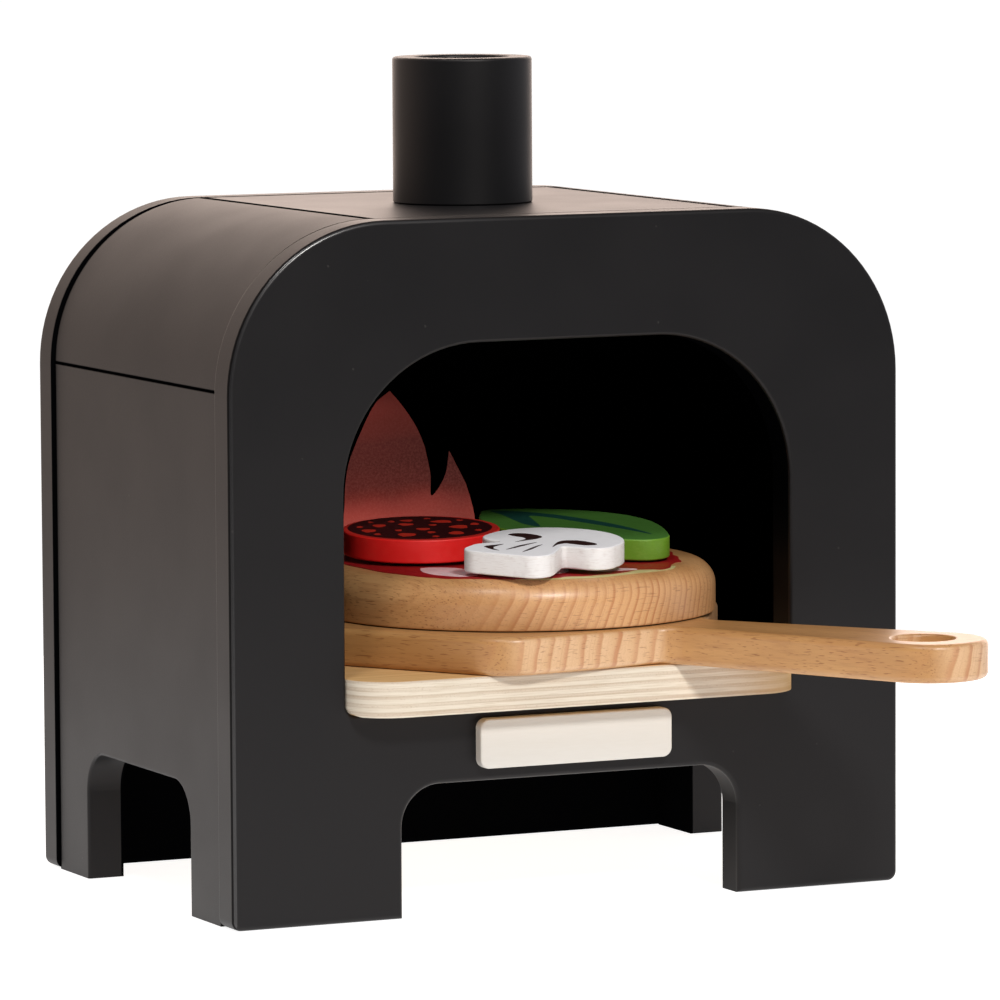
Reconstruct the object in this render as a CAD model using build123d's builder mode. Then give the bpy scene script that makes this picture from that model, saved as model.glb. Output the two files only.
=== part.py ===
from build123d import *
from math import cos, radians, sin
import os

# A wooden toy pizza oven with its peel, its pizza and three toppings.
# Millimetres, +Z up, the mouth looks towards -Y. The origin is on the floor,
# under the middle of the back panel's foot.

os.makedirs("parts", exist_ok=True)

# ---------------------------------------------------------------- driving sizes
# Oven body
board = 12.0  # thickness of every painted board
width = 230.0
depth = 157.0
height = 216.0
corner_radius = 52.5  # top corners of the front and back panels
foot_radius = 3.0  # bottom corners of the same panels
side_inset = 1.0  # the sides stand back from the panels' outline
panel_round = 1.4  # routed edges of the front and back panels
opening_round = 1.0  # eased edges of the mouth and the notches
seam_ease = 0.5  # chamfers along the seams of the body

# Openings
mouth_width = 153.6
mouth_head = 38.5  # board left above the mouth
mouth_radius = 46.0
sill_radius = 3.0  # bottom corners of the mouth, and of the floor's tongue in it
foot_width = 57.0  # each foot of the front panel, beside its arch
arch_height = 41.3
arch_radius = 13.0
leg_width = 24.25  # each leg of a side panel, beside its notch
notch_height = 41.2
notch_radius = 13.0

# Oven floor, a plywood board on two cleats
floor_bottom = 64.3
floor_thick = 11.2
floor_reach = 12.0  # how far the tongue comes out of the mouth
floor_corner = 15.0
floor_ease = 0.6
floor_gap = 0.3  # to each side panel
tongue_gap = 0.2  # to each side of the mouth
cleat_size = 12.0
cleat_setback = 6.0  # from the front and back panels

# Chimney, held by two screws from below
chimney_bore = 30.0
chimney_wall = 7.25
chimney_height = 46.5
chimney_round = 1.0
screw_diameter = 3.0
screw_head = 6.0
screw_length = 28.0
screw_point = 3.0
screw_point_radius = 0.4

# Plaque under the mouth
plaque_width = 66.0
plaque_height = 15.5
plaque_thick = 3.8
plaque_radius = 3.0
plaque_rise = 0.4  # above the middle of the strip between arch and mouth
plaque_ease = 0.6

# Dowels that join the body's boards
dowel_diameter = 6.0
dowel_length = 24.0
dowel_skin = 3.0  # wood between a dowel's end and the outside
dowel_ease = 0.6
dowel_from_floor = 22.0
dowel_from_seam = 53.0  # in the side panels, down from the seam
dowel_from_edge = 23.0  # in the top panel, in from its seams

# Pizza base, lying partly in the mouth
pizza_radius = 63.5
pizza_thick = 16.3
pizza_round = 8.0
pizza_under_round = 1.0
pizza_right = 5.6  # its centre, right of the mouth's middle
pizza_inside = 52.3  # its centre, behind the front face

# Peel, turned about the pizza's centre; lengths run along the peel
peel_thick = 12.0
peel_turn = 33.1  # degrees, the handle's swing to the right
peel_aside = 4.3  # its middle line, left of the pizza's centre
blade_gap = 11.2  # to each side of the mouth, going straight in
blade_ahead = 64.8  # from the pizza's centre to the blade's far edge
blade_behind = 39.7  # from the pizza's centre to the blade's shoulders
shoulder_length = 25.5
handle_length = 84.0  # from the neck to the hanging hole's centre
handle_end = 20.0  # beyond the hole's centre
handle_half_width = 19.8
neck_half_width = 11.2
tip_radius = 40.0
shoulder_radius = 18.0
neck_radius = 8.0
handle_radius = 18.0
hole_diameter = 19.5
peel_round = 2.0
hole_round = 1.0

# Toppings, each leaning forwards a little on its hook-and-loop dot.
# Places are to the right of, and behind, the pizza's centre, on the serving axes.
serving_turn = 25.0  # degrees, clockwise from the oven's own axes
dot_radius = 8.0
dot_thick = 1.2
topping_ease = 0.6

salami_radius = 25.0
salami_thick = 7.6
salami_lean = 3.0
salami_edge = 5.0  # its nearest edge, left of the pizza's centre
salami_ahead = 0.2  # its centre, in front of the pizza's

mushroom_thick = 7.1
mushroom_lean = 4.5
mushroom_turn = -26.8
mushroom_at = (8.3, -40.2)
mushroom_shift = (0.7, 6.0)  # from the dot to the middle of the cap's widest line
cap_half_width = 22.7
cap_rise = 20.0
cap_skirt = 9.5
cap_corner = 7.0
stem_waist = (-11.5, 7.9)  # its two sides at the cap, from the cap's middle
stem_foot = (-18.7, 10.9)  # its two sides at its full width
stem_flare = (7.5, 12.0)  # how far below the cap each side is at its full width
stem_length = 19.8
stem_corner = 6.0
stem_fillet = 1.5

leaf_thick = 6.9
leaf_lean = 3.0
leaf_turn = -48.6
leaf_at = (18.6, 15.6)
leaf_base = 42.0  # from the dot to the stem end
leaf_tip = 40.6  # from the dot to the tip
leaf_half_width = 25.5  # its far flank's greatest reach from the middle line
leaf_near_share = 0.88  # the near flank's reach against the far one's
leaf_flank = [  # along the leaf from its dot, and share of the half width
    (-38.5, 0.26), (-34.0, 0.46), (-21.0, 0.83), (-6.0, 1.00),
    (9.0, 0.935), (24.0, 0.66), (35.0, 0.36), (39.2, 0.20),
]

# ------------------------------------------------------------- places worked out
back_face = board / 2
front_face = back_face - depth
inner_back = -board / 2
inner_front = front_face + board
inner_depth = inner_back - inner_front
middle_y = (front_face + back_face) / 2

side_outer = width / 2 - side_inset
side_inner = side_outer - board
corner_outer = corner_radius - side_inset
corner_inner = corner_outer - board
corner_x = width / 2 - corner_radius
seam_height = height - corner_outer
ceiling = height - board

mouth_top = height - mouth_head
floor_top = floor_bottom + floor_thick
peel_top = floor_top + peel_thick
pizza_top = peel_top + pizza_thick
pizza_y = front_face + pizza_inside


# ------------------------------------------------------------------------ helpers
def arched_opening(opening_width, bottom, top, radius):
    """Outline of an opening with a flat foot and two rounded top corners."""
    with BuildSketch() as opening:
        with Locations((0, bottom)):
            Rectangle(opening_width, top - bottom, align=(Align.CENTER, Align.MIN))
        fillet(opening.vertices().group_by(Axis.Y)[-1], radius)
    return opening.sketch


def across(y):
    """Upright plane at y, seen from the front: its normal is -Y."""
    return Plane.XZ.offset(-y)


def bore_places(points, y, outward):
    """Places for bores at (x, z) points on a face at y that looks to +Y or -Y."""
    return [Plane(origin=(x, y, z), z_dir=(0, outward, 0)) for x, z in points]


def end_places(points):
    """Places for bores at both ends of a board that runs from front to back."""
    return bore_places(points, inner_front, -1) + bore_places(points, inner_back, 1)


# ----------------------------------------------------------------- dowel pattern
dowel_in_panel = board - dowel_skin
dowel_in_board = dowel_length - dowel_in_panel
side_middle = (side_inner + side_outer) / 2
corner_middle = (corner_inner + corner_outer) / 2 * sin(radians(45))

side_dowels = {
    side: [(side * side_middle, z) for z in (dowel_from_floor, seam_height - dowel_from_seam)]
    for side in (-1, 1)
}
corner_dowels = {
    side: [(side * (corner_x + corner_middle), seam_height + corner_middle)]
    for side in (-1, 1)
}
top_dowels = [
    (side * (corner_x - dowel_from_edge), (ceiling + height) / 2) for side in (-1, 1)
]
all_dowels = top_dowels + sum(
    (side_dowels[side] + corner_dowels[side] for side in (-1, 1)), []
)

# ------------------------------------------------------------ front and back panels
with BuildSketch() as panel_outline:
    Rectangle(width, height, align=(Align.CENTER, Align.MIN))
    fillet(panel_outline.vertices().group_by(Axis.Y)[-1], corner_radius)
    fillet(panel_outline.vertices().group_by(Axis.Y)[0], foot_radius)

with BuildSketch() as mouth:
    add(arched_opening(mouth_width, floor_bottom, mouth_top, mouth_radius))
    fillet(mouth.vertices().group_by(Axis.Y)[0], sill_radius)

with BuildPart() as front_panel:
    with BuildSketch(across(inner_front)):
        add(panel_outline.sketch)
        add(mouth.sketch, mode=Mode.SUBTRACT)
        add(
            arched_opening(width - 2 * foot_width, 0, arch_height, arch_radius),
            mode=Mode.SUBTRACT,
        )
    extrude(amount=board)
    front_side = front_panel.faces().sort_by(Axis.Y)[0]
    fillet(front_side.outer_wire().edges(), panel_round)
    front_side = front_panel.faces().sort_by(Axis.Y)[0]
    fillet(front_side.inner_wires()[0].edges(), opening_round)
    rear_side = front_panel.faces().sort_by(Axis.Y)[-1]
    fillet(rear_side.outer_wire().edges(), panel_round)
    with Locations(*bore_places(all_dowels, inner_front, 1)):
        Hole(dowel_diameter / 2, depth=dowel_in_panel)
front_panel.part.label = "front_panel"
export_step(front_panel.part, "parts/front_panel.step")

with BuildPart() as back_panel:
    with BuildSketch(across(back_face)):
        add(panel_outline.sketch)
    extrude(amount=board)
    for side in (0, -1):
        panel_side = back_panel.faces().sort_by(Axis.Y)[side]
        fillet(panel_side.outer_wire().edges(), panel_round)
    with Locations(*bore_places(all_dowels, inner_back, -1)):
        Hole(dowel_diameter / 2, depth=dowel_in_panel)
back_panel.part.label = "back_panel"
export_step(back_panel.part, "parts/back_panel.step")

# --------------------------------------------- side panels, corners and cleats
for side, hand in ((-1, "left"), (1, "right")):
    outward = Axis((0, 0, 0), (side, 0, 0))

    with BuildPart() as side_panel:
        with BuildSketch(Plane.YZ.offset(side * side_inner)):
            with Locations((middle_y, 0)):
                Rectangle(inner_depth, seam_height, align=(Align.CENTER, Align.MIN))
                add(
                    arched_opening(inner_depth - 2 * leg_width, 0, notch_height, notch_radius),
                    mode=Mode.SUBTRACT,
                )
        extrude(amount=side * board)
        outer_side = side_panel.faces().sort_by(outward)[-1]
        seam_edge = outer_side.edges().sort_by(Axis.Z)[-1]
        notch_edges = outer_side.edges().filter_by_position(
            Axis.Y,
            inner_front + leg_width - opening_round,
            inner_back - leg_width + opening_round,
        ) - [seam_edge]
        fillet(notch_edges, opening_round)
        outer_side = side_panel.faces().sort_by(outward)[-1]
        chamfer(outer_side.edges().sort_by(Axis.Z)[-1], seam_ease)
        with Locations(*end_places(side_dowels[side])):
            Hole(dowel_diameter / 2, depth=dowel_in_board)
    side_panel.part.label = f"{hand}_side_panel"
    export_step(side_panel.part, f"parts/{hand}_side_panel.step")

    with BuildPart() as corner_piece:
        with BuildSketch(across(inner_back)):
            with Locations((side * corner_x, seam_height)):
                Circle(corner_outer)
                Circle(corner_inner, mode=Mode.SUBTRACT)
                Rectangle(
                    corner_outer,
                    corner_outer,
                    align=(Align.MIN if side > 0 else Align.MAX, Align.MIN),
                    mode=Mode.INTERSECT,
                )
        extrude(amount=inner_depth)
        rim = corner_piece.faces().filter_by(GeomType.CYLINDER).sort_by(SortBy.AREA)[-1]
        chamfer(rim.edges().filter_by(Axis.Y), seam_ease)
        with Locations(*end_places(corner_dowels[side])):
            Hole(dowel_diameter / 2, depth=dowel_in_board)
    corner_piece.part.label = f"{hand}_corner"
    export_step(corner_piece.part, f"parts/{hand}_corner.step")

    with BuildPart() as floor_cleat:
        with BuildSketch(across(inner_back - cleat_setback)):
            with Locations((side * side_inner, floor_bottom)):
                Rectangle(
                    cleat_size,
                    cleat_size,
                    align=(Align.MAX if side > 0 else Align.MIN, Align.MAX),
                )
        extrude(amount=inner_depth - 2 * cleat_setback)
        low_edges = floor_cleat.edges().filter_by(Axis.Y).group_by(Axis.Z)[0]
        chamfer(low_edges, seam_ease)
    floor_cleat.part.label = f"{hand}_floor_cleat"
    export_step(floor_cleat.part, f"parts/{hand}_floor_cleat.step")

# ------------------------------------------------------------ top panel, chimney
screw_spacing = chimney_bore + chimney_wall
screw_points = [(side * screw_spacing / 2, middle_y) for side in (-1, 1)]


def screw_places(z):
    """The two screws' places at height z, each looking down."""
    return [Plane(origin=(x, y, z), z_dir=(0, 0, -1)) for x, y in screw_points]


with BuildPart() as top_panel:
    with BuildSketch(Plane.XY.offset(ceiling)):
        with Locations((0, middle_y)):
            Rectangle(2 * corner_x, inner_depth)
    extrude(amount=board)
    seam_edges = top_panel.faces().sort_by(Axis.Z)[-1].edges().filter_by(Axis.Y)
    chamfer(seam_edges, seam_ease)
    with Locations(*screw_places(ceiling)):
        CounterSinkHole(screw_diameter / 2, screw_head / 2, depth=board, counter_sink_angle=90)
    with Locations(*end_places(top_dowels)):
        Hole(dowel_diameter / 2, depth=dowel_in_board)
top_panel.part.label = "top_panel"
export_step(top_panel.part, "parts/top_panel.step")

with BuildPart() as chimney:
    with BuildSketch(Plane.XY.offset(height)):
        with Locations((0, middle_y)):
            Circle(chimney_bore / 2 + chimney_wall)
            Circle(chimney_bore / 2, mode=Mode.SUBTRACT)
    extrude(amount=chimney_height)
    fillet(chimney.edges().group_by(Axis.Z)[-1], chimney_round)
    foot_edge = chimney.edges().group_by(Axis.Z)[0].sort_by(SortBy.LENGTH)[-1]
    chamfer(foot_edge, seam_ease)
    with Locations(*screw_places(height)):
        Hole(screw_diameter / 2, depth=screw_length - board)
chimney.part.label = "chimney"
export_step(chimney.part, "parts/chimney.step")

with BuildPart() as screw:
    with BuildSketch(Plane.XZ):
        with BuildLine():
            Polyline(
                (0, 0),
                (screw_head / 2, 0),
                (screw_diameter / 2, (screw_head - screw_diameter) / 2),
                (screw_diameter / 2, screw_length - screw_point),
                (screw_point_radius, screw_length),
                (0, screw_length),
                close=True,
            )
        make_face()
    revolve(axis=Axis.Z)

with BuildPart() as chimney_screws:
    with Locations(*[(x, y, ceiling) for x, y in screw_points]):
        add(screw.part)
chimney_screws.part.label = "chimney_screws"
export_step(chimney_screws.part, "parts/chimney_screws.step")

# ------------------------------------------------------------------- oven floor
tongue_width = mouth_width - 2 * tongue_gap
tongue_length = board + floor_reach

with BuildPart() as oven_floor:
    with BuildSketch(across(inner_front)) as tongue_section:
        with Locations((0, floor_bottom)):
            Rectangle(tongue_width, floor_thick, align=(Align.CENTER, Align.MIN))
        fillet(tongue_section.vertices().group_by(Axis.Y)[0], sill_radius)
    extrude(amount=tongue_length)
    with BuildSketch(Plane.XY.offset(floor_bottom)) as tongue_plan:
        with Locations((0, inner_front)):
            Rectangle(tongue_width, tongue_length, align=(Align.CENTER, Align.MAX))
        fillet(tongue_plan.vertices().group_by(Axis.Y)[0], floor_corner)
    extrude(amount=floor_thick, mode=Mode.INTERSECT)
    tongue_top = oven_floor.faces().sort_by(Axis.Z)[-1]
    rear_edge = tongue_top.edges().sort_by(Axis.Y)[-1]
    fillet(tongue_top.edges() - [rear_edge], floor_ease)
    with BuildSketch(Plane.XY.offset(floor_bottom)):
        with Locations((0, middle_y)):
            Rectangle(2 * (side_inner - floor_gap), inner_depth)
    extrude(amount=floor_thick)
oven_floor.part.label = "oven_floor"
export_step(oven_floor.part, "parts/oven_floor.step")

# ----------------------------------------------------------------------- plaque
plaque_middle = (arch_height + floor_bottom) / 2 + plaque_rise

with BuildPart() as front_plaque:
    with BuildSketch(across(front_face)):
        with Locations((0, plaque_middle)):
            RectangleRounded(plaque_width, plaque_height, plaque_radius)
    extrude(amount=plaque_thick)
    fillet(front_plaque.faces().sort_by(Axis.Y)[0].edges(), plaque_ease)
front_plaque.part.label = "front_plaque"
export_step(front_plaque.part, "parts/front_plaque.step")

# ----------------------------------------------------------------------- dowels
front_start = inner_front + dowel_in_board
back_start = inner_back + dowel_in_panel

for end, start in (("front", front_start), ("back", back_start)):
    with BuildPart() as dowels:
        with BuildSketch(across(start)):
            with Locations(*all_dowels):
                Circle(dowel_diameter / 2)
        extrude(amount=dowel_length)
        chamfer(dowels.edges().filter_by(GeomType.CIRCLE), dowel_ease)
    dowels.part.label = f"{end}_dowels"
    export_step(dowels.part, f"parts/{end}_dowels.step")

# ------------------------------------------------------------------------- peel
inwards = (-sin(radians(peel_turn)), cos(radians(peel_turn)))
peel_plane = Plane(
    origin=(
        pizza_right - peel_aside * inwards[1],
        pizza_y + peel_aside * inwards[0],
        floor_top,
    ),
    x_dir=(*inwards, 0),
    z_dir=(0, 0, 1),
)
blade_half_width = mouth_width / 2 - blade_gap
neck_x = -blade_behind - shoulder_length
hole_x = neck_x - handle_length

with BuildPart() as peel:
    with BuildSketch(peel_plane) as peel_plan:
        left_side = [
            (hole_x - handle_end, handle_half_width),
            (neck_x, neck_half_width),
            (-blade_behind, blade_half_width),
            (blade_ahead, blade_half_width),
        ]
        right_side = [(x, -y) for x, y in reversed(left_side)]
        with BuildLine():
            Polyline(*left_side, *right_side, close=True)
        make_face()
        radii = (handle_radius, neck_radius, shoulder_radius, tip_radius)
        for (x, y), radius in zip(left_side, radii):
            corners = peel_plan.vertices().filter_by_position(Axis.X, x - 0.01, x + 0.01)
            fillet(corners, radius)
        with Locations((hole_x, 0)):
            Circle(hole_diameter / 2, mode=Mode.SUBTRACT)
    extrude(amount=peel_thick)
    for side in (-1, 0):
        flat = peel.faces().sort_by(Axis.Z)[side]
        fillet(flat.outer_wire().edges(), peel_round)
        flat = peel.faces().sort_by(Axis.Z)[side]
        fillet(flat.inner_wires()[0].edges(), hole_round)
peel.part.label = "peel"
export_step(peel.part, "parts/peel.step")

# ------------------------------------------------------------------------ pizza
with BuildPart() as pizza_base:
    with BuildSketch(Plane.XY.offset(peel_top)):
        with Locations((pizza_right, pizza_y)):
            Circle(pizza_radius)
    extrude(amount=pizza_thick)
    fillet(pizza_base.edges().group_by(Axis.Z)[-1], pizza_round)
    fillet(pizza_base.edges().group_by(Axis.Z)[0], pizza_under_round)
pizza_base.part.label = "pizza_base"
export_step(pizza_base.part, "parts/pizza_base.step")

# --------------------------------------------------------------------- toppings
serve_right = (cos(radians(serving_turn)), -sin(radians(serving_turn)))
serve_away = (-serve_right[1], serve_right[0])


def seat(place, lean, turn=0.0):
    """Plane of a topping's underside: it leans forwards and is turned in itself."""
    right, away = place
    tip, rise = sin(radians(lean)), cos(radians(lean))
    leaning = Plane(
        origin=(
            pizza_right + right * serve_right[0] + away * serve_away[0],
            pizza_y + right * serve_right[1] + away * serve_away[1],
            pizza_top + 2 * dot_thick,
        ),
        x_dir=(*serve_right, 0),
        z_dir=(-tip * serve_away[0], -tip * serve_away[1], rise),
    )
    return Plane(leaning.location * Rotation(0, 0, turn))


salami_seat = seat((-salami_edge - salami_radius, -salami_ahead), salami_lean)
mushroom_seat = seat(mushroom_at, mushroom_lean, mushroom_turn)
leaf_seat = seat(leaf_at, leaf_lean, leaf_turn)

with BuildPart() as salami_slice:
    with BuildSketch(salami_seat):
        Circle(salami_radius)
    extrude(amount=salami_thick)
    fillet(salami_slice.edges().filter_by(GeomType.CIRCLE), topping_ease)
salami_slice.part.label = "salami_slice"
export_step(salami_slice.part, "parts/salami_slice.step")

# The mushroom's outline stands on the middle of its cap's widest line.
with BuildSketch() as cap:
    Ellipse(cap_half_width, cap_rise)
    Rectangle(2 * cap_half_width, cap_rise, align=(Align.CENTER, Align.MIN), mode=Mode.INTERSECT)
    Rectangle(2 * cap_half_width, cap_skirt, align=(Align.CENTER, Align.MAX))
    fillet(cap.vertices().group_by(Axis.Y)[0], cap_corner)

with BuildSketch() as stem:
    with BuildLine():
        left_edge, right_edge = [
            [
                (waist, 0),
                (waist, -cap_skirt),
                (foot, -cap_skirt - flare),
                (foot, -cap_skirt - stem_length),
            ]
            for waist, foot, flare in zip(stem_waist, stem_foot, stem_flare)
        ]
        Polyline(*left_edge, *reversed(right_edge), close=True)
    make_face()
    fillet(stem.vertices().group_by(Axis.Y)[0:3], stem_corner)

with BuildSketch() as mushroom_outline:
    add(cap.sketch)
    add(stem.sketch)
    inner_corners = mushroom_outline.vertices().filter_by_position(
        Axis.Y, -cap_skirt - 0.01, -cap_skirt + 0.01
    ).filter_by_position(Axis.X, stem_waist[0] - 0.01, stem_waist[1] + 0.01)
    fillet(inner_corners, stem_fillet)

with BuildPart() as mushroom_slice:
    with BuildSketch(mushroom_seat):
        with Locations(mushroom_shift):
            add(mushroom_outline.sketch)
    extrude(amount=mushroom_thick)
    flats = mushroom_slice.faces().filter_by(mushroom_seat)
    fillet(flats.edges(), topping_ease)
mushroom_slice.part.label = "mushroom_slice"
export_step(mushroom_slice.part, "parts/mushroom_slice.step")

with BuildPart() as basil_leaf:
    with BuildSketch(leaf_seat):
        with BuildLine():
            flank = [(x, share * leaf_half_width) for x, share in leaf_flank]
            other_flank = [(x, -leaf_near_share * y) for x, y in reversed(flank)]
            Spline((-leaf_base, 0), *flank, (leaf_tip, 0), *other_flank, periodic=True)
        make_face()
    extrude(amount=leaf_thick)
    flats = basil_leaf.faces().filter_by(leaf_seat)
    fillet(flats.edges(), topping_ease)
basil_leaf.part.label = "basil_leaf"
export_step(basil_leaf.part, "parts/basil_leaf.step")

# -------------------------------------------------------- hook-and-loop dots
meetings = {
    "salami": salami_seat.offset(-dot_thick),
    "mushroom": mushroom_seat.offset(-dot_thick),
    "leaf": leaf_seat.offset(-dot_thick),
}

for name, meeting in meetings.items():
    with BuildPart() as hook_dot:
        with BuildSketch(meeting):
            Circle(dot_radius)
        extrude(amount=dot_thick)
    hook_dot.part.label = f"{name}_hook_dot"
    export_step(hook_dot.part, f"parts/{name}_hook_dot.step")

with BuildPart() as loop_dots:
    with BuildSketch(Plane.XY.offset(pizza_top)):
        with Locations(*[(meeting.origin.X, meeting.origin.Y) for meeting in meetings.values()]):
            Circle(dot_radius)
    extrude(amount=2 * dot_thick)
    for meeting in meetings.values():
        with Locations(meeting):
            Cylinder(
                1.5 * dot_radius,
                3 * dot_thick,
                align=(Align.CENTER, Align.CENTER, Align.MIN),
                mode=Mode.SUBTRACT,
            )
loop_dots.part.label = "loop_dots"
export_step(loop_dots.part, "parts/loop_dots.step")
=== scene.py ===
# %% [markdown]
# # A wooden toy pizza oven
# This lesson dresses a finished CAD model in Blender. The model comes in as a fixed
# frame: every board, peg and topping is already where it belongs, in metres. What is
# left for Blender is what a workshop does last: paint, bare wood, printed colours,
# and the light and camera to look at them.

# %% Load the frame
import math

import bpy
import mathutils
import numpy as np
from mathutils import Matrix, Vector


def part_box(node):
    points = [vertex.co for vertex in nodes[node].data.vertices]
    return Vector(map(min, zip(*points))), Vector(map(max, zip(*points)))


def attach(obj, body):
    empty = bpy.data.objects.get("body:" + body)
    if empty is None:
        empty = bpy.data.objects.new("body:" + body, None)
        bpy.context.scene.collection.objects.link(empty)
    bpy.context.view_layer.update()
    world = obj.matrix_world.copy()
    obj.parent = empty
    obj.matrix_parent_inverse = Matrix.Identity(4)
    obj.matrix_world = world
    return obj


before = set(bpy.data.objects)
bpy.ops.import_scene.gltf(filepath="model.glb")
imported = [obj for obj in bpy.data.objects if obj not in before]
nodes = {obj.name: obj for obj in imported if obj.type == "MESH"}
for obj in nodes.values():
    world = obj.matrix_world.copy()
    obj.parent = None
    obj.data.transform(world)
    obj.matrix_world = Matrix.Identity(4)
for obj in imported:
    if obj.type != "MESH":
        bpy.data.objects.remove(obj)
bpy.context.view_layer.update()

# %% [markdown]


# %% [markdown]
# ## Shader arithmetic
# A material in Blender is a network of nodes joined by sockets. Long networks are
# easier to read as sums, so this class wraps one socket and lets it stand in ordinary
# expressions: each plus or times adds the node that does it. Numbers use the Math
# node, while colours and directions need Mix and Vector Math, because a Math node
# would turn a colour grey. Every other node comes from the method `node`.


# %% One socket in a sum
class Wire:
    """An output socket of a material's node tree."""

    def __init__(self, tree, socket=None):
        self.tree = tree
        self.socket = socket

    def node(self, kind, settings=None, inputs=None, output=0):
        """Add a node: settings first, then the values or links of its sockets."""
        made = self.tree.nodes.new(kind)
        for name, value in (settings or {}).items():
            if name == "stops":
                set_stops(made.color_ramp, value)
            else:
                setattr(made, name, value)
        for key, value in (inputs or {}).items():
            if isinstance(value, Wire):
                self.tree.links.new(value.socket, made.inputs[key])
            else:
                made.inputs[key].default_value = value
        return Wire(self.tree, made.outputs[output])

    def calculate(self, operation, first, second):
        """Add the node for one operator: Mix, Vector Math or Math, by what it joins."""
        kinds = [side.socket.type for side in (first, second) if isinstance(side, Wire)]
        if "RGBA" in kinds:
            settings = {"data_type": "RGBA", "blend_type": operation}
            return self.node("ShaderNodeMix", settings, {0: 1.0, 6: first, 7: second}, 2)
        if "VECTOR" in kinds:
            first, second = (
                (side,) * 3 if isinstance(side, (int, float)) else side
                for side in (first, second)
            )
            kind = "ShaderNodeVectorMath"
        else:
            kind = "ShaderNodeMath"
        return self.node(kind, {"operation": operation}, {0: first, 1: second})

    def math(self, operation, second=0.0):
        """A Math node for what has no sign of its own in Python, such as a square root."""
        return self.node("ShaderNodeMath", {"operation": operation}, {0: self, 1: second})

    def __add__(self, other):
        return self.calculate("ADD", self, other)

    def __radd__(self, other):
        return self.calculate("ADD", other, self)

    def __sub__(self, other):
        return self.calculate("SUBTRACT", self, other)

    def __rsub__(self, other):
        return self.calculate("SUBTRACT", other, self)

    def __mul__(self, other):
        return self.calculate("MULTIPLY", self, other)

    def __rmul__(self, other):
        return self.calculate("MULTIPLY", other, self)

    def __truediv__(self, other):
        return self.calculate("DIVIDE", self, other)

    def __rtruediv__(self, other):
        return self.calculate("DIVIDE", other, self)

    def __gt__(self, other):
        return self.calculate("GREATER_THAN", self, other)

    def __lt__(self, other):
        return self.calculate("LESS_THAN", self, other)


def set_stops(ramp, stops):
    """Put a colour ramp's stops where the list of (position, colour) says."""
    while len(ramp.elements) < len(stops):
        ramp.elements.new(1.0)
    for element, (position, colour) in zip(ramp.elements, stops):
        element.position = position
        element.color = colour


# %% [markdown]
# A few short helpers cover what nearly every finish on this toy needs: its own
# place in millimetres, a cloud of noise stretched along the grain, a soft step that
# turns a cloud into a mask, and a mix of two colours by a mask. Because the noise is
# read from the piece's own coordinates, the grain runs through the wood as it does
# in a real block, and it stays with the piece when the piece moves. An image wrapped
# round the wood could not do that: its grain would break at every edge.
#
# `finish` puts a recipe on a Principled shader. A recipe is a function that gives the
# sockets whose value changes over the surface; what is the same all over is handed
# straight to the shader.


# %% Helpers for finishes
def place_in_mm(root):
    return root.node("ShaderNodeTexCoord", output="Object") * 1000.0


def axis(vector, name):
    """One of a vector's numbers: X is to the right, Y is to the back and Z is up."""
    return vector.node("ShaderNodeSeparateXYZ", inputs={0: vector}, output=name)


def size_of(value):
    return value.math("ABSOLUTE")


def up_facing(root):
    """How squarely the surface faces up: 1 on a top, 0 on a side, -1 underneath."""
    return axis(root.node("ShaderNodeNewGeometry", output="Normal"), "Z")


def noise(place, scale, detail=2.0, rough=0.5):
    """Soft noise, about 0.5 in the middle; scale may differ along the three axes."""
    if isinstance(scale, tuple):
        place, scale = place * scale, 1.0
    inputs = {"Vector": place, "Scale": scale, "Detail": detail, "Roughness": rough}
    return place.node("ShaderNodeTexNoise", inputs=inputs, output="Fac")


def step(value, low, high, start=0.0, stop=1.0):
    """A smooth rise from start to stop while the value goes from low to high."""
    inputs = {"Value": value, 1: low, 2: high, 3: start, 4: stop}
    return value.node("ShaderNodeMapRange", {"interpolation_type": "SMOOTHSTEP"}, inputs)


def mix(mask, first, second):
    """The first colour where the mask is 0, and the second where it is 1."""
    settings = {"data_type": "RGBA", "clamp_factor": True}
    return mask.node("ShaderNodeMix", settings, {0: mask, 6: first, 7: second}, 2)


def shade(hexcode):
    """A colour of the palette, from its usual six digits to Blender's linear scale."""
    channels = [int(hexcode[i : i + 2], 16) / 255 for i in (0, 2, 4)]
    linear = [c / 12.92 if c <= 0.04045 else ((c + 0.055) / 1.055) ** 2.4 for c in channels]
    return (*linear, 1.0)


# The black of painted shade: a dull diffuse black that stands in for shadow.
PAINTED_SHADE_BLACK = (0.0012, 0.0013, 0.0016, 1.0)


def finish(name, recipe, **constants):
    """A material: recipe(root) gives what varies; constants go straight on the shader.

    A recipe may also give `height` in millimetres, which is turned into a bump, and
    `shade`, a mask of painted shade: the places that a dull black covers.
    """
    material = bpy.data.materials.new(name)
    material.use_nodes = True
    tree = material.node_tree
    tree.nodes.clear()
    root = Wire(tree)
    inputs = dict(recipe(root))
    height = inputs.pop("height", None)
    shadow = inputs.pop("shade", None)
    if height is not None:
        inputs["Normal"] = root.node(
            "ShaderNodeBump", inputs={"Strength": 1.0, "Distance": 0.001, "Height": height},
        )
    surface = root.node("ShaderNodeBsdfPrincipled", inputs={**inputs, **constants})
    if shadow is not None:
        painted_shade = root.node("ShaderNodeBsdfDiffuse", inputs={"Color": PAINTED_SHADE_BLACK})
        surface = root.node("ShaderNodeMixShader", inputs={0: shadow, 1: surface, 2: painted_shade})
    output = tree.nodes.new("ShaderNodeOutputMaterial")
    tree.links.new(surface.socket, output.inputs["Surface"])
    print("finish", name, len(tree.nodes), "nodes")
    return material


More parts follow.
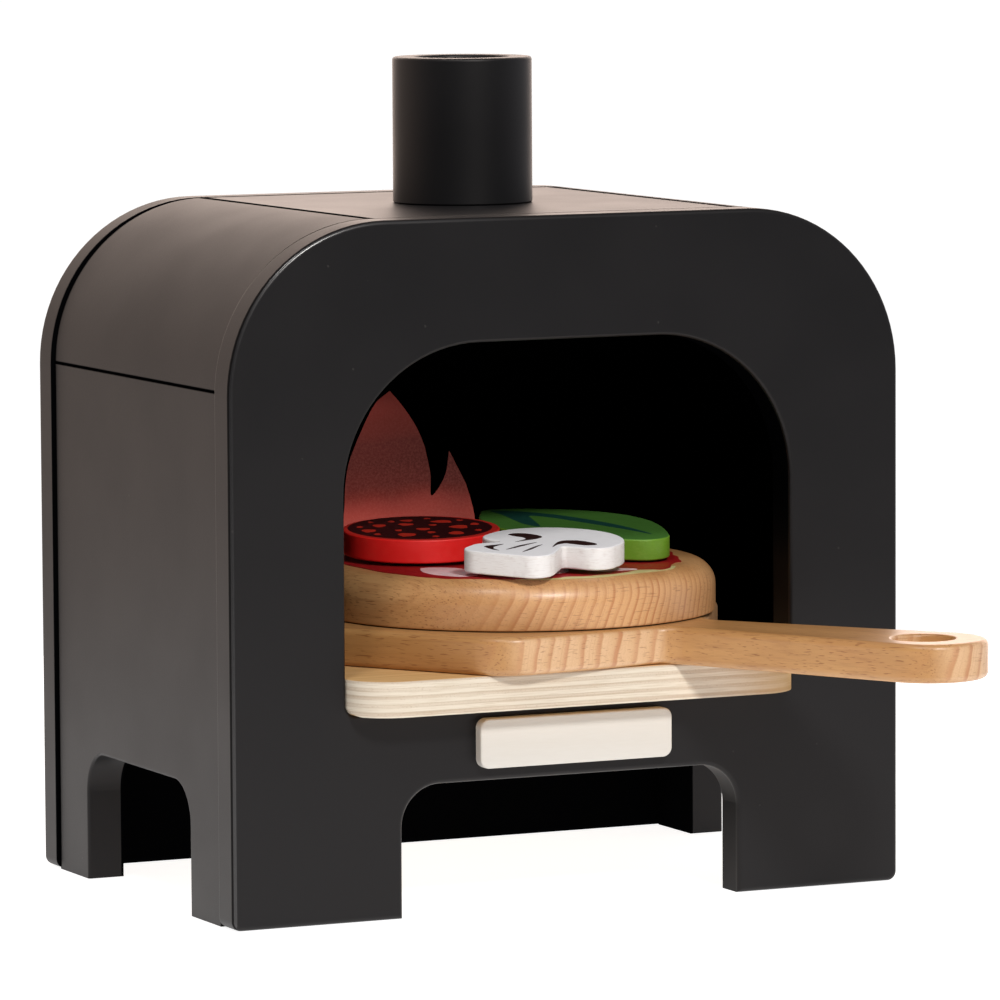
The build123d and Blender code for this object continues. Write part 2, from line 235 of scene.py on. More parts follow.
def dress(material, *names):
    """Give CAD nodes a finish through their material slots."""
    for name in names:
        piece = nodes[name]
        if not piece.material_slots:
            piece.data.materials.append(None)
        for slot in piece.material_slots:
            slot.material = material


# %% [markdown]
# ## Black paint
# The body's boards are smooth fibreboard under a satin black paint. All its pieces
# share one recipe, so a mask of painted shade has to tell from a point's place alone
# whether it lies in a joint, inside the oven or on a rounded edge. The boxes of the CAD
# pieces say where these places are. Painting the masks by hand would be slower, and
# they would stay behind if a board changed.

# %% Where the body's seams and edges are
rim_low, rim_high = (1000.0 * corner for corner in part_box("left_corner"))
top_low, top_high = (1000.0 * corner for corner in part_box("top_panel"))
panel_high = 1000.0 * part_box("front_panel")[1]
CORNER_X, SEAM_Z = top_high.x, rim_low.z
RIM_FRONT, RIM_BACK = rim_low.y, rim_high.y
CORNER_INNER = top_low.z - SEAM_Z
PANEL_OUTER = panel_high.x - CORNER_X
PANEL_CENTRE = panel_high.z - PANEL_OUTER
FRONT_FACE = 1000.0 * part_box("front_panel")[0].y
BACK_FACE = 1000.0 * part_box("back_panel")[1].y
EDGE_ROUND = 1.3  # what the routed round takes off the front panel's faces
print("seams: height", round(SEAM_Z, 2), "across", round(CORNER_X, 2), "back", round(RIM_BACK, 2))
print("front panel: round of", round(PANEL_OUTER, 2), "about height", round(PANEL_CENTRE, 2))

# %% [markdown]
# Masks are numbers from 0 to 1. Times keeps what two masks share, and the greater of
# two masks joins them. The first helper marks a seam. The second tells how far a point
# lies out from the line that the rounded corners turn about, seen from the front:
# the same distance all round the rim, so one number tells inside from outside.


# %% Helpers for masks
def near(value, place, half_width):
    """A soft mask, 1 on a seam and 0 beyond half_width of it."""
    return step(size_of(value - place), 0.5 * half_width, half_width, 1.0, 0.0)


def reach_of(place, centre_height):
    """How far out a point lies, in millimetres, from the line the corners turn about."""
    sideways = (size_of(axis(place, "X")) - CORNER_X).math("MAXIMUM", 0.0)
    upwards = (axis(place, "Z") - centre_height).math("MAXIMUM", 0.0)
    return (sideways * sideways + upwards * upwards).math("SQRT")


def either(first, *others):
    """The greatest of several masks at each point."""
    for mask in others:
        first = first.math("MAXIMUM", mask)
    return first


# %% [markdown]
# Three kinds of places are painted with shade, a dull black. The joints between the
# boards swallow light, and their grooves and steps are painted as shade: a seam runs up
# each side where the back panel meets the rim, widest at the top, and others cross it at
# both ends of each rounded corner. The inside of the oven, with the cut edge of the
# mouth, is painted with shade; low on the mouth's edge the shade is only about half as
# dark. Painted shade also darkens the rounded corners a little towards the top, and the
# seams there are wide because the pieces' edges are eased. Deep narrow gaps in the mesh
# would look the same, but a mask costs nothing and is easy to move.

# %% Painted shade of the body
SIDE_SEAM, CORNER_SEAM, FRONT_SEAM = 0.75, 2.4, 0.6  # half widths in millimetres
BACK_SEAM_LOW, BACK_SEAM_HIGH = 1.4, 2.6
BACK_SEAM_GROWS = (160.0, 205.0)  # heights between which it widens
BACK_SEAM_SHIFT = 0.4  # the painted shade's middle lies on the back panel's side of the joint
FRONT_SEAM_STRENGTH = 0.7
SHADE_REACH = 0.8  # how far the painted shade reaches into the boards from inside
SHADE_REACH_AT_BACK = 0.3
FACE_ROUND = 1.6  # what stays free of painted shade next to the panels' outer faces
MOUTH_FADE = (85.0, 130.0)  # heights over which the painted shade on the mouth's edge grows full
MOUTH_LOW_SHADE = 0.45
CORNER_FADE = (182.0, 214.0)  # heights over which painted shade darkens the corners
CORNER_START = 16.0  # how softly that starts across the panels' edges
CORNER_SHADE = 0.26


def body_shadow(place):
    """One mask of painted shade for all the dark places of the body."""
    across, along, height = size_of(axis(place, "X")), axis(place, "Y"), axis(place, "Z")
    in_rim = (along > RIM_FRONT) * (along < RIM_BACK)
    back_width = step(height, *BACK_SEAM_GROWS, BACK_SEAM_LOW, BACK_SEAM_HIGH)
    back_seam = near(along, RIM_BACK + BACK_SEAM_SHIFT, back_width)
    side_seam = near(height, SEAM_Z, SIDE_SEAM) * in_rim
    corner_seam = near(across, CORNER_X, CORNER_SEAM) * (height > SEAM_Z) * in_rim
    front_seam = near(along, RIM_FRONT, FRONT_SEAM) * (height < SEAM_Z)
    within = reach_of(place, SEAM_Z) < CORNER_INNER + SHADE_REACH
    hollow = within * (along > RIM_FRONT) * (along < RIM_BACK + SHADE_REACH_AT_BACK)
    mouth_wall = within * (along > FRONT_FACE + FACE_ROUND) * (along < RIM_FRONT)
    mouth_wall = mouth_wall * step(height, *MOUTH_FADE, MOUTH_LOW_SHADE, 1.0)
    panels = step(across, CORNER_X, CORNER_X + CORNER_START)
    panels = panels * (along > FRONT_FACE + EDGE_ROUND) * (along < BACK_FACE - FACE_ROUND)
    corner_top_shade = either((across > CORNER_X) * in_rim, panels)
    corner_top_shade = corner_top_shade * step(height, *CORNER_FADE, 0.0, CORNER_SHADE)
    seams = either(back_seam, side_seam, corner_seam, front_seam * FRONT_SEAM_STRENGTH)
    return either(seams, corner_top_shade, hollow, mouth_wall)


# %% [markdown]
# The front panel's outer edge is routed round. On the left half, the paint on the
# outermost ring of it has flowed smooth and shines like a clear coat. Behind that
# ring a dull black is mixed in as painted shade.

# %% The front panel's edge
GLOSS_RING = 0.45
GLOSS_FADE = (-60.0, -10.0)  # across, from the glossy half to the plain one
# how strongly the painted shade behind the glossy ring darkens the edge
EDGE_SHADE_STRENGTH = 0.6


def front_edge(place):
    """Two masks: the glossy ring of the front panel's edge, and the painted shade behind it."""
    border = reach_of(place, PANEL_CENTRE) > PANEL_OUTER - EDGE_ROUND
    along = axis(place, "Y")
    ring_end = FRONT_FACE + GLOSS_RING
    glossy = border * (along < ring_end) * step(axis(place, "X"), *GLOSS_FADE, 1.0, 0.0)
    painted_shade = border * (along > ring_end) * (along < FRONT_FACE + EDGE_ROUND)
    return glossy, painted_shade


# %% [markdown]
# Now the paint itself. Sprayed paint is never quite flat: it keeps a fine pebbled skin
# from the spray, the board's softness shows as slow changes of gloss, and a few specks
# of dust are caught in it. The colour is almost black; nearly everything that is seen
# on it is reflected light, so the roughness matters more here than the colour. Along
# the joint behind the front panel a thin grey-brown line is a painted highlight, where
# the front panel's edge catches the light.

# %% Black paint
# The last of these colours is a painted highlight along the joint behind the front panel.
BLACK, WARM_BLACK, DUST, JOINT_HIGHLIGHT = "0d0e10", "101012", "262524", "59534e"
JOINT_SHIFT, JOINT_LINE = 0.2, 0.5


def black_paint_recipe(root):
    place = place_in_mm(root)
    cloud = noise(place, 0.03, 3.0)
    pebbles = noise(place, 1.1, 2.0)
    pores = noise(place, 3.2, 1.0)
    dust = root.node(
        "ShaderNodeTexVoronoi", {"feature": "F1"}, {"Vector": place, "Scale": 0.11}, "Distance",
    )
    lucky = noise(place, 0.05, 0.0)
    speck = step(dust, 0.03, 0.045, 1.0, 0.0) * (lucky > 0.58)
    # painted highlight: a thin light line where the front panel's edge catches the light
    joint_highlight = near(axis(place, "Y"), RIM_FRONT - JOINT_SHIFT, JOINT_LINE)
    joint_highlight = joint_highlight * (axis(place, "Z") > SEAM_Z)
    colour = mix(cloud, shade(BLACK), shade(WARM_BLACK))
    colour = mix(joint_highlight, colour, shade(JOINT_HIGHLIGHT))
    glossy, painted_shade = front_edge(place)
    return {
        "Base Color": mix(speck, colour, shade(DUST)),
        "Coat Weight": glossy,
        "Roughness": step(cloud, 0.2, 0.8, 0.43, 0.48) + (pores - 0.5) * 0.10,
        "height": pebbles * 0.010 + pores * 0.006 + speck * 0.05,
        "shade": either(body_shadow(place), painted_shade * EDGE_SHADE_STRENGTH),
    }


PAINT = {
    "Specular IOR Level": 0.30, "Specular Tint": (1.0, 0.94, 0.92, 1.0), "Coat Roughness": 0.25,
}
black_paint = finish("black_paint", black_paint_recipe, **PAINT)
dress(
    black_paint, "front_panel", "back_panel", "left_side_panel", "right_side_panel",
    "left_corner", "right_corner", "top_panel", "chimney",
)

# %% [markdown]
# ## Beech
# The peel and the pizza are solid beech. Its marks all come from how the tree grew:
# yearly rings around a far-off centre, fine fibres along the grain, and the short
# brown flecks that beech is known for. Modelled as one solid block, the same recipe
# gives long flecks on a face cut along the grain, and ring lines on a face cut across
# it. Such an end face is given paler colours, so the recipe also asks how squarely the
# surface faces along the grain.
#
# A ring is not a true circle, so its radius wanders, slowly and a lot, quickly and a
# little. Each year ends in a dark line of late wood. A white noise node turns the
# number of the year into a chance value, so no two lines are equally strong, and a
# noise of the radius alone adds finer lines between them.
#
# `grain` is the direction of the grain in the plan, in degrees. `heart` is where the
# tree's centre lay, across the grain and above the table, and `ring_gap` is a year's
# growth, in millimetres. `foot` is the height of an underside that rests on another
# piece: the last half millimetre above it is painted shadow, the dark line of the contact.

# %% Beech
BEECH = {
    "hair": "98663a", "thin line": "a3653a", "late wood": "a8592a",
    "fibre": "a87247", "fleck": "7c441a", "ray": "84502a",
}


def beech_recipe(grain, heart, ring_gap, side_shades, end_shades, seed, foot=None):
    def recipe(root):
        settings = {"rotation_type": "Z_AXIS"}
        turn = -math.radians(grain)
        inputs = {"Vector": place_in_mm(root), "Angle": turn}
        place = root.node("ShaderNodeVectorRotate", settings, inputs) + (seed, 0.0, 0.0)
        facing = root.node(
            "ShaderNodeVectorRotate", settings,
            {"Vector": root.node("ShaderNodeNewGeometry", output="Normal"), "Angle": turn},
        )
        end_grain = step(size_of(axis(facing, "X")), 0.45, 0.90)

        across = axis(place, "Y") - heart[0]
        upward = axis(place, "Z") - heart[1]
        wander = noise(place, (0.003, 0.013, 0.013), 1.0) * (3.0 * ring_gap)
        wander = wander + noise(place, (0.006, 0.10, 0.10), 1.0) * (0.4 * ring_gap)
        radius = (across * across + upward * upward).math("SQRT") + wander
        years = radius / ring_gap
        season = years.math("FRACT")
        settings = {"noise_dimensions": "1D"}
        luck = root.node("ShaderNodeTexWhiteNoise", settings, {"W": years.math("FLOOR")}, "Value")
        late_wood = step(season, 0.55, 0.90) * step(season, 0.92, 1.0, 1.0, 0.0)
        late_wood = late_wood * (luck * 0.6 + 0.4)
        radial = root.node("ShaderNodeCombineXYZ", inputs={0: radius})
        thin_lines = step(noise(radial, 1.7, 2.0), 0.50, 0.70)
        band = step(season, 0.0, 0.9)

        fibres = noise(place, (0.06, 2.4, 2.4), 3.0, 0.6)
        hairs = noise(place, (0.035, 0.9, 0.9), 2.0, 0.6)
        broad = noise(place, (0.010, 0.06, 0.06), 2.0)
        fleck = step(noise(place, (0.21, 2.5, 2.5), 1.0, 0.4), 0.61, 0.72)
        ray = step(noise(place, (0.7, 0.20, 2.6), 1.0, 0.5), 0.60, 0.72) * end_grain

        side = mix(step(broad, 0.3, 0.7), shade(side_shades[0]), shade(side_shades[1]))
        side = mix(step(hairs, 0.45, 0.75, 0.0, 0.40), side, shade(BEECH["hair"]))
        end = mix(band * step(broad, 0.2, 0.8), shade(end_shades[0]), shade(end_shades[1]))
        colour = mix(end_grain, side, end)

        def by_face(along_grain, across_grain, from_end=1.0):
            """A mark's strength, which differs on the two kinds of faces."""
            return step(end_grain, 0.0, from_end, along_grain, across_grain)

        colour = mix(thin_lines * by_face(0.06, 0.22), colour, shade(BEECH["thin line"]))
        colour = mix(late_wood * by_face(0.12, 0.64), colour, shade(BEECH["late wood"]))
        colour = mix(step(fibres, 0.35, 0.75, 0.0, 0.20), colour, shade(BEECH["fibre"]))
        colour = mix(fleck * by_face(0.62, 0.05, 0.4), colour, shade(BEECH["fleck"]))
        found = {
            "Base Color": mix(ray * 0.45, colour, shade(BEECH["ray"])),
            "Roughness": step(fibres, 0.2, 0.8, 0.40, 0.54) + fleck * 0.08,
            "height": fibres * 0.015,
        }
        if foot is not None:
            # painted contact shadow: a dull black line just above the underside
            found["shade"] = step(axis(place, "Z"), foot + 0.25, foot + 0.55, 1.0, 0.0)
        return found

    return recipe


OILED = {"Coat Weight": 0.42, "Coat Roughness": 0.29}
peel_recipe = beech_recipe(
    grain=-56.9, heart=(-330.0, 122.0), ring_gap=5.15,
    side_shades=("c3925a", "b1804a"), end_shades=("d8b188", "ca9f6f"), seed=0.0,
)
pizza_recipe = beech_recipe(
    grain=-72.0, heart=(-320.0, 190.0), ring_gap=2.9,
    side_shades=("d09e69", "be8a56"), end_shades=("d6a573", "c6935e"), seed=40.0,
    foot=1000.0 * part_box("pizza_base")[0].z,
)
dress(finish("peel_beech", peel_recipe, **OILED), "peel")
dress(finish("pizza_beech", pizza_recipe, **OILED), "pizza_base")

# %% [markdown]
# ## Plywood and plain woods
# The oven's floor is birch plywood. On its edge the veneers show as thin layers that
# lie along and across in turn, and the layers cut across look a little darker and
# pinker. The flat faces show a single smooth veneer, in a tan that is partly its own
# colour and partly painted shade and warm light thrown by the peel. The height above
# the board's underside says which layer a point belongs to, and the direction of the
# surface says whether it is an edge or a face. Nine thin boxes would also give the
# layers, but the real board is one piece with one outline, so they are colour. Towards
# its right end the edge is darker and yellower: painted shade of the peel's handle and
# the warm light it throws. The board's two sides, beyond the mouth, lie against the
# painted boards in the dark and are painted with shade, a dull black.

# %% Plywood
PLY = {
    "long": "dcd1bf", "crossed": "c2b09b", "thread": "bba78d", "pore": "a68c74",
    "handle shade": "c49346", "face": "e3b87f", "face dark": "d4a66b",
}
VENEERS = 9
MOUTH_HALF = 77.0
HANDLE_SHADE_SPAN = (42.0, 78.0)  # across, where the painted shade of the peel's handle turns the edge darker and yellower
floor_low, floor_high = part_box("oven_floor")
veneer_thick = (floor_high.z - floor_low.z) * 1000.0 / VENEERS


def plywood_recipe(root):
    place = place_in_mm(root)
    bend = noise(place, (0.02, 0.02, 0.0), 1.0) * 0.25
    layer = (axis(place, "Z") - floor_low.z * 1000.0 + bend) / veneer_thick
    season = layer.math("PINGPONG", 1.0)
    crossed = step(season, 0.44, 0.56)
    tint = noise(place, (0.015, 0.015, 1.1), 1.0)
    threads = noise(place, (0.10, 0.10, 4.0), 3.0, 0.6)
    pores = noise(place, (1.6, 1.6, 3.0), 2.0)
    tinted = crossed * step(tint, 0.3, 0.7, 0.35, 1.0)
    edge = mix(tinted, shade(PLY["long"]), shade(PLY["crossed"]))
    edge = mix(step(threads, 0.45, 0.72, 0.0, 0.55), edge, shade(PLY["thread"]))
    edge = mix(crossed * step(pores, 0.55, 0.7, 0.0, 0.35), edge, shade(PLY["pore"]))
    # painted shade of the peel's handle: the edge darker and yellower towards its right end
    edge = mix(step(axis(place, "X"), *HANDLE_SHADE_SPAN, 0.0, 0.80), edge, shade(PLY["handle shade"]))
    veneer = noise(place, (0.02, 0.5, 0.1), 3.0, 0.6)
    # the faces' tan is partly the veneer and partly painted shade and warm light from the peel
    face = mix(step(veneer, 0.3, 0.7), shade(PLY["face"]), shade(PLY["face dark"]))
    return {
        "Base Color": mix(step(size_of(up_facing(root)), 0.75, 0.95), edge, face),
        "Roughness": step(threads, 0.2, 0.8, 0.50, 0.62),
        "height": threads * 0.03 - crossed * 0.03 + veneer * 0.01,
        # painted shade: the board's sides beyond the mouth take the dull black
        "shade": (size_of(axis(place, "X")) > MOUTH_HALF) * (axis(place, "Y") > RIM_FRONT),
    }


dress(finish("birch_plywood", plywood_recipe), "oven_floor")
print("plywood:", VENEERS, "veneers of", round(veneer_thick, 3), "mm")

# %% [markdown]
# The cleats, the dowels and the plaque are small plain pieces, so one recipe with
# three sets of colours is enough: fibres along one axis, a broad change of tone, and
# a fine raised grain. The plaque is left bare.


# %% Plain woods
def plain_wood_recipe(light, dark, stretch):
    def recipe(root):
        place = place_in_mm(root)
        fibres = noise(place, tuple(1.8 * s for s in stretch), 3.0, 0.6)
        broad = noise(place, tuple(0.12 * s for s in stretch), 2.0)
        colour = mix(broad * 0.6 + fibres * 0.4, shade(light), shade(dark))
        return {
            "Base Color": colour,
            "Roughness": step(fibres, 0.2, 0.8, 0.52, 0.64),
            "height": fibres * 0.03,
        }

    return recipe


dress(finish("cleat_wood", plain_wood_recipe("d9b98f", "bd9465", (1.0, 0.06, 1.0))),
      "left_floor_cleat", "right_floor_cleat")
dress(finish("dowel_wood", plain_wood_recipe("dcb98c", "c39a68", (1.0, 0.06, 1.0))),
      "front_dowels", "back_dowels")
dress(finish("plaque_wood", plain_wood_recipe("d9d7d2", "cec8bf", (0.08, 1.0, 1.0))),
      "front_plaque")

# %% [markdown]
# ## Painted toppings
# The salami, the mushroom and the leaf are cut from thin board and painted, and the
# brush leaves the wood's fibres showing as faint ridges on their sides. The paint is
# thinner on the ridges, so the colour is a touch lighter there. The tops get a colour
# of their own, partly paint and partly painted light and shade: lighter than the sides
# on the mushroom, darker on the leaf and the salami.


# %% Topping paint
def topping_paint_recipe(colour, thin_colour, top_colour_and_light):
    def recipe(root):
        place = place_in_mm(root)
        ridges = noise(place, (0.35, 0.35, 3.4), 3.0, 0.6)
        dabs = noise(place, 0.35, 2.0)
        side = mix(step(ridges, 0.5, 0.72, 0.0, 0.5), shade(colour), shade(thin_colour))
        side = mix(step(dabs, 0.5, 0.8, 0.0, 0.35), side, shade(thin_colour))
        return {
            # the tops: their own paint colour, partly painted light and shade
            "Base Color": mix(step(up_facing(root), 0.6, 0.9), side, shade(top_colour_and_light)),
            "Roughness": step(dabs, 0.3, 0.7, 0.42, 0.54),
            "height": ridges * 0.05 + dabs * 0.02,
        }

    return recipe


dress(finish("red_paint", topping_paint_recipe("f62220", "f6382a", "c82820")), "salami_slice")
dress(finish("white_paint", topping_paint_recipe("e8e5e3", "cdc2be", "f9f8fb")), "mushroom_slice")
dress(finish("green_paint", topping_paint_recipe("6c9a28", "80a838", "487a30")), "basil_leaf")

# %% [markdown]
# ## Hook-and-loop dots and screws
# Each topping stands on a dot of hook tape that grips a dot of loop tape on the pizza.
# From the side they are thin bands of cloth, so a tangle of fine noise with a soft,
# rough surface is enough. The two screws under the top panel are zinc-plated steel.


# %% Tape and steel
def tape_recipe(colour, shadow, scale):
    def recipe(root):
        place = place_in_mm(root)
        tangle = noise(place, scale, 4.0, 0.7)
        return {
            "Base Color": mix(step(tangle, 0.35, 0.6), shade(shadow), shade(colour)),
            "Roughness": step(tangle, 0.3, 0.7, 0.85, 0.98),
            "height": tangle * 0.35,
        }

    return recipe


def steel_recipe(root):
    place = place_in_mm(root)
    turned = noise(place, (0.6, 0.6, 9.0), 2.0)
    return {
        "Base Color": mix(turned, shade("b9b9b4"), shade("9a9a96")),
        "Roughness": step(turned, 0.3, 0.7, 0.28, 0.42),
        "height": turned * 0.01,
    }


dress(finish("loop_tape", tape_recipe("d9d6cf", "8f8b84", 2.2)), "loop_dots")
dress(finish("hook_tape", tape_recipe("e4e1da", "a09c95", 3.4)),
      "salami_hook_dot", "mushroom_hook_dot", "leaf_hook_dot")
dress(finish("zinc_steel", steel_recipe, Metallic=1.0), "chimney_screws")

# %% [markdown]
# ## Printed colours
# The sauce, the gills, the veins and the flame are printed on the wood. A print could
# be a mask in a material, but its outline is a drawn one, so it is made as a thin
# film of mesh instead: a few points of its outline, a smooth curve through them, and
# a filled face. The film is a twentieth of a millimetre thick and lies on its piece.

# %% Outlines and films
FILM = 0.05  # millimetres


def smooth(points, steps=6):
    """A closed smooth curve (Catmull-Rom) through the points of an outline."""
    corners = [np.array(point, float) for point in points]
    count = len(corners)
    curve = []
    for i in range(count):
        before, start, stop, after = (corners[(i + k) % count] for k in (-1, 0, 1, 2))
        for j in range(steps):
            t = j / steps
            curve.append(
                0.5 * (2 * start + (stop - before) * t
                       + (2 * before - 5 * start + 4 * stop - after) * t**2
                       + (3 * start - before - 3 * stop + after) * t**3)
            )
    return curve


def make_piece(name, vertices, faces, material, body):
    """A mesh piece in metres from millimetres, on its body and with its finish."""
    mesh = bpy.data.meshes.new(name)
    mesh.from_pydata([tuple(0.001 * value for value in vertex) for vertex in vertices], [], faces)
    mesh.validate()
    mesh.update()
    piece = bpy.data.objects.new(name, mesh)
    bpy.context.scene.collection.objects.link(piece)
    piece.data.materials.append(material)
    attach(piece, body)
    print("piece", name, len(mesh.polygons), "faces on", body)
    return piece


def film(name, outlines, place, material, body, lift=0.0):
    """Flat film: each outline is a prism with its underside on the given plane."""
    vertices, faces = [], []
    for outline in outlines:
        curve = smooth(outline)
        count, first = len(curve), len(vertices)
        for height in (lift, lift + FILM):
            vertices += [place @ mathutils.Vector((x, y, height)) for x, y in curve]
        below = list(range(first, first + count))
        above = list(range(first + count, first + 2 * count))
        faces += [tuple(reversed(below)), tuple(above)]
        faces += [
            (below[i], below[(i + 1) % count], above[(i + 1) % count], above[i])
            for i in range(count)
        ]
    return make_piece(name, vertices, faces, material, body)


# %% [markdown]
# A print's colour is even, but the press and the wood below leave it slightly
# mottled, and the fibres show through as fine lines. One recipe serves all prints.
# Ink is also flatter than varnish, so most prints reflect less than the wood does.


# %% Print ink
MATT = {"Specular IOR Level": 0.25}


def ink_recipe(colour, worn, grain=(0.5, 0.5, 0.5)):
    def recipe(root):
        place = place_in_mm(root)
        mottle = noise(place, 0.9, 3.0, 0.7)
        threads = noise(place, grain, 3.0, 0.6)
        wear = step(mottle * 0.5 + threads * 0.5, 0.4, 0.65)
        return {
            "Base Color": mix(wear, shade(colour), shade(worn)),
            "Roughness": step(mottle, 0.3, 0.7, 0.42, 0.55),
            "height": threads * 0.02,
        }

    return recipe


# %% [markdown]
# ## Where the toppings sit
# The toppings are laid out on axes turned 25 degrees from the oven's own, and each
# leans forwards a few degrees on its dot. `seat` gives a topping's own plane: a point
# (x, y, z) in millimetres on the topping becomes a point of the whole model.

# %% Seats
PIZZA_RIGHT, PIZZA_Y = 5.6, -98.7
pizza_low, pizza_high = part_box("pizza_base")
PIZZA_TOP = pizza_high.z * 1000.0
PIZZA_RADIUS = (pizza_high.x - pizza_low.x) * 500.0
SERVING_TURN = math.radians(25.0)
DOTS_THICK = 2.4
serve_right = mathutils.Vector((math.cos(SERVING_TURN), -math.sin(SERVING_TURN), 0.0))
serve_away = mathutils.Vector((math.sin(SERVING_TURN), math.cos(SERVING_TURN), 0.0))


def seat(right, away, lean, turn):
    """The plane of a topping's underside as a matrix."""
    tilt, spin = math.radians(lean), math.radians(turn)
    normal = mathutils.Vector((0, 0, math.cos(tilt))) - math.sin(tilt) * serve_away
    across = normal.cross(serve_right)
    origin = mathutils.Vector((PIZZA_RIGHT, PIZZA_Y, PIZZA_TOP + DOTS_THICK))
    origin += right * serve_right + away * serve_away
    axes = mathutils.Matrix((serve_right, across, normal)).transposed().to_4x4()
    return (
        mathutils.Matrix.Translation(origin) @ axes @ mathutils.Matrix.Rotation(spin, 4, "Z")
    )


salami_seat = seat(right=-30.0, away=-0.2, lean=3.0, turn=0.0)
mushroom_seat = seat(right=8.3, away=-40.2, lean=4.5, turn=-26.8)
leaf_seat = seat(right=18.6, away=15.6, lean=3.0, turn=-48.6)
SALAMI_THICK, MUSHROOM_THICK, LEAF_THICK = 7.6, 7.1, 6.9
print("pizza top", round(PIZZA_TOP, 2), "radius", round(PIZZA_RADIUS, 2))

# %% [markdown]
# ## Mushroom gills
# Two dark curved marks under the cap and three strokes on the stem turn a flat white
# shape into a sliced mushroom. They are drawn in the mushroom's own plane.

# %% Mushroom print
mushroom_marks = [
    [(-15.5, 7.0), (-14.5, 9.6), (-11.0, 10.8), (-6.6, 9.8), (-4.0, 7.6), (-4.1, 4.1),
     (-5.8, 0.4), (-7.8, -3.7), (-7.3, -0.2), (-7.2, 2.6), (-9.2, 4.4), (-12.4, 5.2)],
    [(6.7, -6.7), (5.2, -2.2), (4.3, 2.4), (5.3, 5.4), (9.1, 6.8), (13.2, 6.0), (16.6, 4.3),
     (17.0, 2.2), (14.3, 0.4), (10.0, 0.8), (7.4, 0.8), (6.2, -2.1)],
    [(-13.1, -14.6), (-13.0, -13.0), (-11.6, -11.1), (-9.5, -8.2), (-9.9, -11.5),
     (-10.0, -13.8), (-8.8, -16.4), (-5.9, -18.5), (-8.8, -17.8), (-11.5, -16.1)],
    [(-4.6, -16.3), (-4.4, -11.9), (-3.8, -7.5), (-1.4, -1.1), (-2.4, -7.6), (-3.4, -12.9)],
    [(1.7, -17.8), (1.3, -12.6), (1.2, -8.1), (1.8, -3.7), (2.1, -8.2), (2.4, -13.1)],
]
gill_ink = finish("gill_ink", ink_recipe("2a1413", "36201c"), **MATT)
film("mushroom_print", mushroom_marks, mushroom_seat, gill_ink, "mushroom",
     MUSHROOM_THICK)

# %% [markdown]
# ## Leaf veins
# One thick rib runs the length of the leaf and narrows to a point, with a side vein
# that leaves it near the stem end.

# %% Leaf print
leaf_marks = [
    [(-38.8, -1.1), (-37.0, 1.5), (-33.7, 4.1), (-26.9, 6.8), (-18.4, 8.9), (-7.4, 9.8),
     (4.2, 9.6), (17.4, 8.1), (32.3, 4.3), (19.7, 4.7), (7.3, 4.6), (-4.0, 4.4), (-15.2, 3.9),
     (-22.4, 1.4), (-16.0, -3.1), (-3.6, -11.1), (-10.4, -11.5), (-17.9, -8.8), (-29.2, -4.1)],
]
vein_ink = finish("vein_ink", ink_recipe("16423a", "1e4d41"), **MATT)
film("leaf_print", leaf_marks, leaf_seat, vein_ink, "leaf", LEAF_THICK)

# %% [markdown]
# ## Salami print
# The slice's face is a dark red disc, a little off centre as prints are, with spots
# of fat in a brighter red. Each spot is a wobbly round: a circle whose radius rises
# and falls a few times on the way round.


# %% Salami print
def blob(x, y, half_width, half_depth, wobble, phase):
    """An irregular round outline about a middle point."""
    outline = []
    for k in range(10):
        angle = math.tau * k / 10
        slow, quick = math.sin(3 * angle + phase), math.sin(5 * angle - 2 * phase)
        reach = 1 + wobble * slow + 0.5 * wobble * quick
        right, away = half_width * reach, half_depth * reach
        outline.append((x + right * math.cos(angle), y + away * math.sin(angle)))
    return outline


salami_spots = [  # right, away, half width, half depth
    (-13.3, 4.4, 2.1, 2.7), (-16.2, 11.8, 0.9, 1.5), (-9.6, 13.0, 1.1, 1.6),
    (-4.7, 14.8, 2.1, 2.0), (-4.9, 6.8, 2.4, 2.2), (1.7, 19.0, 1.1, 1.4),
    (6.5, 12.6, 3.3, 2.5), (3.7, 5.4, 1.3, 1.4), (12.2, 15.2, 1.1, 1.2),
    (17.0, 7.2, 1.4, 2.1), (12.1, 1.6, 2.9, 3.2), (0.7, -2.8, 2.2, 2.1),
    (3.3, -9.5, 1.3, 1.8), (11.3, -11.0, 2.4, 3.0), (18.3, -5.4, 1.1, 1.6),
    (-16.5, -5.9, 2.3, 3.0), (-19.5, 2.0, 1.0, 1.6), (-13.6, -12.9, 1.1, 1.6),
    (-7.0, -5.3, 1.1, 1.6), (-4.4, -14.3, 2.9, 3.4), (4.8, -17.8, 1.1, 1.4),
]
dark_ink = finish("salami_ink", ink_recipe("300a0d", "3b0f11"), **MATT)
spot_ink = finish("spot_ink", ink_recipe("c42a1c", "cc3826"), **MATT)
film("salami_print", [blob(-0.4, 0.3, 23.0, 23.0, 0.006, 1.0)], salami_seat, dark_ink, "salami",
     SALAMI_THICK)
film("salami_spots", [blob(*spot, 0.12, k * 1.7) for k, spot in enumerate(salami_spots)],
     salami_seat, spot_ink, "salami", SALAMI_THICK + FILM)

# %% [markdown]
# ## Sauce and cheese
# The pizza's print runs out to the rounded rim, so its film has to follow the curve.
# The rim's round is a quarter circle: within the flat middle the height is constant,
# and beyond it the surface falls as the circle does. Each patch is a fan of rings
# about its own middle, every point of which is dropped on that surface.

# %% Draped films
RIM_ROUND = 8.0
FLAT_RADIUS = PIZZA_RADIUS - RIM_ROUND


def on_pizza(right, away, lift):
    """The point of the pizza's top at a place on the serving axes, raised by lift."""
    radius = math.hypot(right, away)
    over = min(max(radius - FLAT_RADIUS, 0.0), RIM_ROUND)
    slope = math.asin(over / RIM_ROUND)
    fall = RIM_ROUND * (1 - math.cos(slope))
    stretch = 1 + lift * math.sin(slope) / max(radius, 1.0)
    point = stretch * (right * serve_right + away * serve_away)
    height = PIZZA_TOP - fall + lift * math.cos(slope)
    return point + mathutils.Vector((PIZZA_RIGHT, PIZZA_Y, height))


